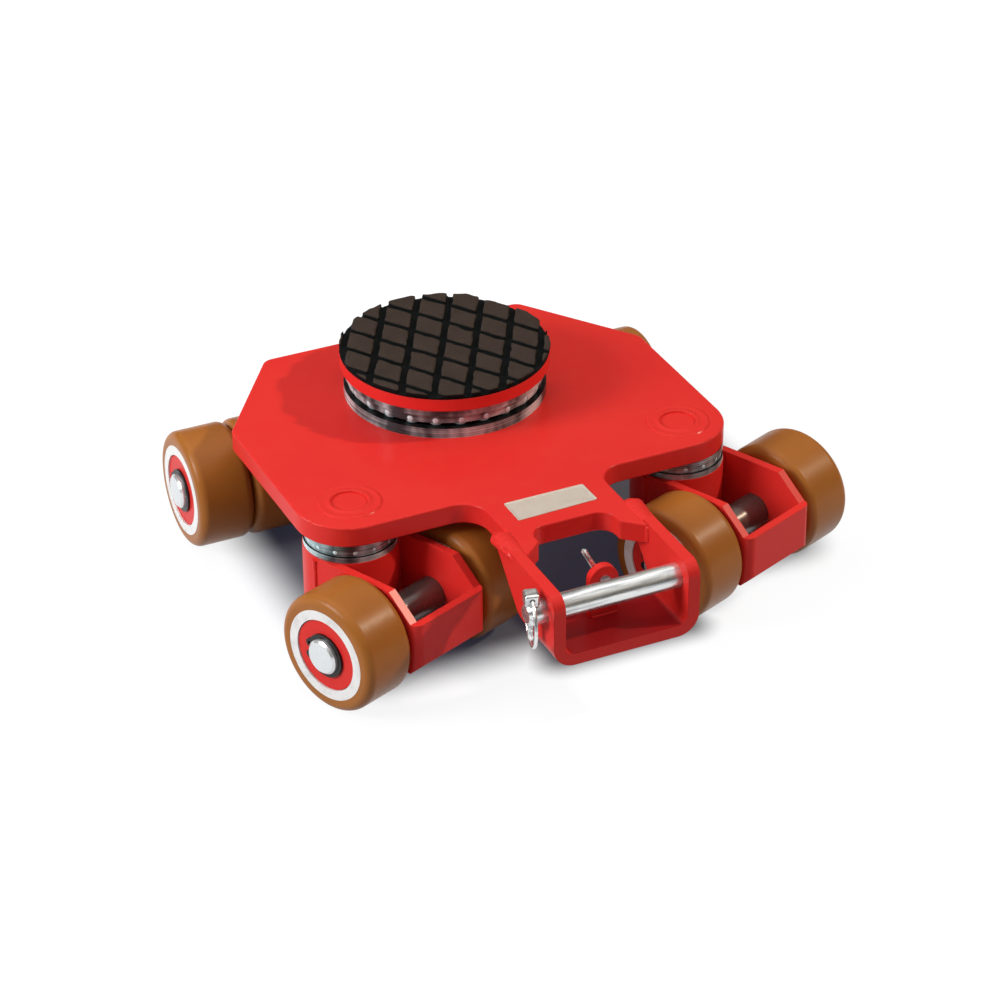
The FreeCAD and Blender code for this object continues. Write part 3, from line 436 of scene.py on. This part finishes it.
# Rubber pad: moulded black rubber, glued to the disc. Its blocks are worn round at the edges and uneven on top,
# brown and dusty there, and the grooves between them stay black.
pad_low, pad_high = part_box("rubber_pad")
PAD_VOXEL, PAD_SMOOTHING, PAD_KEPT = 0.0008, 3, 0.45
PAD_UNEVEN, PAD_UNEVEN_SCALE, WORN_SKIN, SAME_POINT = 0.0010, 130.0, 0.0018, 1e-6
RUBBER_BLACK, RUBBER_GRITTY = colour(0.005, 0.006, 0.006), colour(0.075, 0.062, 0.053)
RUBBER_BROWN, RUBBER_WORN = colour(0.034, 0.024, 0.020), colour(0.062, 0.045, 0.037)
pad_mesh = nodes["rubber_pad"].data.copy()
pad_mesh.materials.clear()
form = bmesh.new()
form.from_mesh(pad_mesh)
bmesh.ops.remove_doubles(form, verts=form.verts, dist=SAME_POINT)
form.to_mesh(pad_mesh)
form.free()
worn_pad = bpy.data.objects.new("worn_pad", pad_mesh)
bpy.context.scene.collection.objects.link(worn_pad)
remesh = worn_pad.modifiers.new("even", "REMESH")
remesh.mode, remesh.voxel_size = "VOXEL", PAD_VOXEL
smooth = worn_pad.modifiers.new("worn", "SMOOTH")
smooth.iterations = PAD_SMOOTHING
fewer = worn_pad.modifiers.new("fewer", "DECIMATE")
fewer.ratio = PAD_KEPT
evaluated = worn_pad.evaluated_get(bpy.context.evaluated_depsgraph_get())
pad_mesh = bpy.data.meshes.new_from_object(evaluated)
pad_mesh.name = "worn_pad"
worn_pad.modifiers.clear()
worn_pad.data = pad_mesh
for vertex in pad_mesh.vertices:
    rise = max(0.0, (vertex.co.z - pad_low.z) / (pad_high.z - pad_low.z))
    drift = noise.noise_vector(vertex.co * PAD_UNEVEN_SCALE) * PAD_UNEVEN * rise
    vertex.co += Vector((drift.x, drift.y, min(drift.z, 0.0)))
pad_mesh.shade_smooth()
pad_rubber, start, place = new_finish("pad_rubber")
top = start.axis(place, "Z").between(pad_high.z - WORN_SKIN, pad_high.z - WORN_SKIN / 3)
grit = start.noise(place, 330.0, 6.0, 0.7)
patch = start.noise(place, 55.0, 4.0)
worn_top = grit.between(0.55, 0.85).blend(patch.blend(RUBBER_BROWN, RUBBER_WORN), RUBBER_GRITTY)
dress(pad_rubber, {
    "Base Color": top.blend(RUBBER_BLACK, worn_top),
    "Roughness": top * 0.10 + grit * 0.16 + 0.60,
    "Specular IOR Level": 0.05,
    "Normal": start.bump(grit, 0.35, 0.0004),
})
pad_mesh.materials.clear()
pad_mesh.materials.append(pad_rubber)
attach(worn_pad, "turntable")
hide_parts("rubber_pad")

# Floor: a white sweep, white to the camera and in reflections, with a painted pool of shade under the skate,
# where its real shadow falls too. The pool turns to white a hand's breadth outside the wheels.
FLOOR_SIZE, FLOOR_GAP = 12.0, 0.0006
# Painted shadow: inside these boxes, shaped like the skate's shadow, the floor does not glow and stays dark bluish
# grey.
SHADE_BOXES = (((-0.030, 0.045), (0.115, 0.107), 0.050), ((0.090, 0.056), (0.090, 0.096), 0.045),
               ((0.018, -0.050), (0.048, 0.055), 0.030))
SHADE_FAR, SHADE_TINT = 9.0, colour(0.014, 0.017, 0.028)
NEAR_WHITE, FULL_WHITE, UNLIT = colour(0.9, 0.9, 0.9), colour(1, 1, 1), colour(0.0, 0.0, 0.0)
PAPER_LIT, PAPER_SEEN = colour(0.34, 0.35, 0.37), colour(0.13, 0.14, 0.16)
SEEN_RAYS = ("Is Camera Ray", "Is Glossy Ray", "Is Transmission Ray")
bpy.ops.mesh.primitive_plane_add(size=FLOOR_SIZE, location=(0, 0, -FLOOR_GAP))
floor = bpy.context.object
floor.name = "floor"
floor_white, start, place = new_finish("floor_white")
camera_ray, glossy_ray, clear_ray = [start.node("LightPath", output=name) for name in SEEN_RAYS]
seen = start.maths("MAXIMUM", start.maths("MAXIMUM", camera_ray, glossy_ray), clear_ray)
outside = SHADE_FAR
for middle, half, edge in SHADE_BOXES:
    past = [start.maths("MAXIMUM", start.maths("ABSOLUTE", start.axis(place, letter) - centre) - reach, 0.0)
            for letter, centre, reach in zip("XY", middle, half)]
    share = start.maths("SQRT", past[0] * past[0] + past[1] * past[1]) * (1.0 / edge)
    outside = start.maths("MINIMUM", share, outside)
near = outside.between(0.0, 1.0).blend(SHADE_TINT, NEAR_WHITE)
glow = outside.between(1.0, SHADE_FAR).blend(near, FULL_WHITE)
dress(floor_white, {
    "Base Color": seen.blend(PAPER_LIT, PAPER_SEEN),
    "Roughness": 0.9,
    "Specular IOR Level": 0.0,
    "Emission Color": seen.blend(UNLIT, glow),
    "Emission Strength": 1.0,
})
floor.data.materials.append(floor_white)

# Room: white to the camera. In reflections it is darker towards the horizon than overhead, as a room with a soft
# box in it is, and it lights the skate evenly from all round.
ROOM_LIGHT, HORIZON = 0.25, 0.12
ROOM_WARM, ROOM_WHITE = colour(1.0, 0.88, 0.74), colour(1.0, 1.0, 1.0)
world = bpy.data.worlds.new("studio")
bpy.context.scene.world = world
world.use_nodes = True
start = Value(world.node_tree)
background = world.node_tree.nodes["Background"]
camera_ray, glossy_ray, clear_ray = [start.node("LightPath", output=name) for name in SEEN_RAYS]
upward = start.axis(start.node("TexCoord", output="Generated"), "Z").between(0.30, 0.95)
overhead = upward * (1.0 - HORIZON) + HORIZON
bare = start.maths("MAXIMUM", camera_ray, clear_ray)
other = 1.0 - start.maths("MAXIMUM", bare, glossy_ray)
level = bare + glossy_ray * overhead + other * ROOM_LIGHT
world.node_tree.links.new(level.socket, background.inputs["Strength"])
shade = (glossy_ray * (1.0 - upward)).blend(ROOM_WHITE, ROOM_WARM)
world.node_tree.links.new(shade.socket, background.inputs["Color"])

# Lamps: a wide soft box overhead, a soft fill on the left, and a small warm key on the right, which throws the
# pad's crisp shadow to the left across the plate.
LAMP_AIM = Vector((0.0, 0.0, 0.1))
WHITE_LIGHT, WARM_LIGHT = (1.0, 1.0, 1.0), (1.0, 0.86, 0.66)


def lamp(name, power, size, place, tint):
    light = bpy.data.lights.new(name, "AREA")
    light.energy = power
    light.size = size
    light.color = tint
    item = bpy.data.objects.new(name, light)
    item.location = place
    item.rotation_euler = (LAMP_AIM - Vector(place)).to_track_quat("-Z", "Y").to_euler()
    bpy.context.scene.collection.objects.link(item)


lamp("soft_box", 16.5, 2.6, (-0.3, 0.2, 2.4), WHITE_LIGHT)
lamp("fill", 34.0, 0.8, (-1.93, 0.15, 1.12), WHITE_LIGHT)
lamp("key", 70.0, 0.2, (2.86, -1.02, 2.64), WARM_LIGHT)

# Camera: a long lens, as the photograph was taken, low over the left front corner of the skate.
IMAGE_SIZE, SENSOR, FOCAL_PIXELS = 1000.0, 36.0, 3396.4
AZIMUTH, ELEVATION, ROLL = radians(-25.193), radians(31.421), radians(-0.26)
DISTANCE = 2.3706
target = on_plate(-4.75, -101.65, 70.0)
back = Vector((sin(AZIMUTH) * cos(ELEVATION), -cos(AZIMUTH) * cos(ELEVATION), sin(ELEVATION)))
lens = bpy.data.cameras.new("camera")
lens.sensor_width = SENSOR
lens.lens = SENSOR * FOCAL_PIXELS / IMAGE_SIZE
camera = bpy.data.objects.new("camera", lens)
aim = back.to_track_quat("Z", "Y").to_matrix().to_4x4() @ Matrix.Rotation(ROLL, 4, "Z")
camera.matrix_world = Matrix.Translation(target + back * DISTANCE) @ aim
bpy.context.scene.collection.objects.link(camera)
bpy.context.scene.camera = camera
bpy.context.scene.view_settings.view_transform = "Standard"
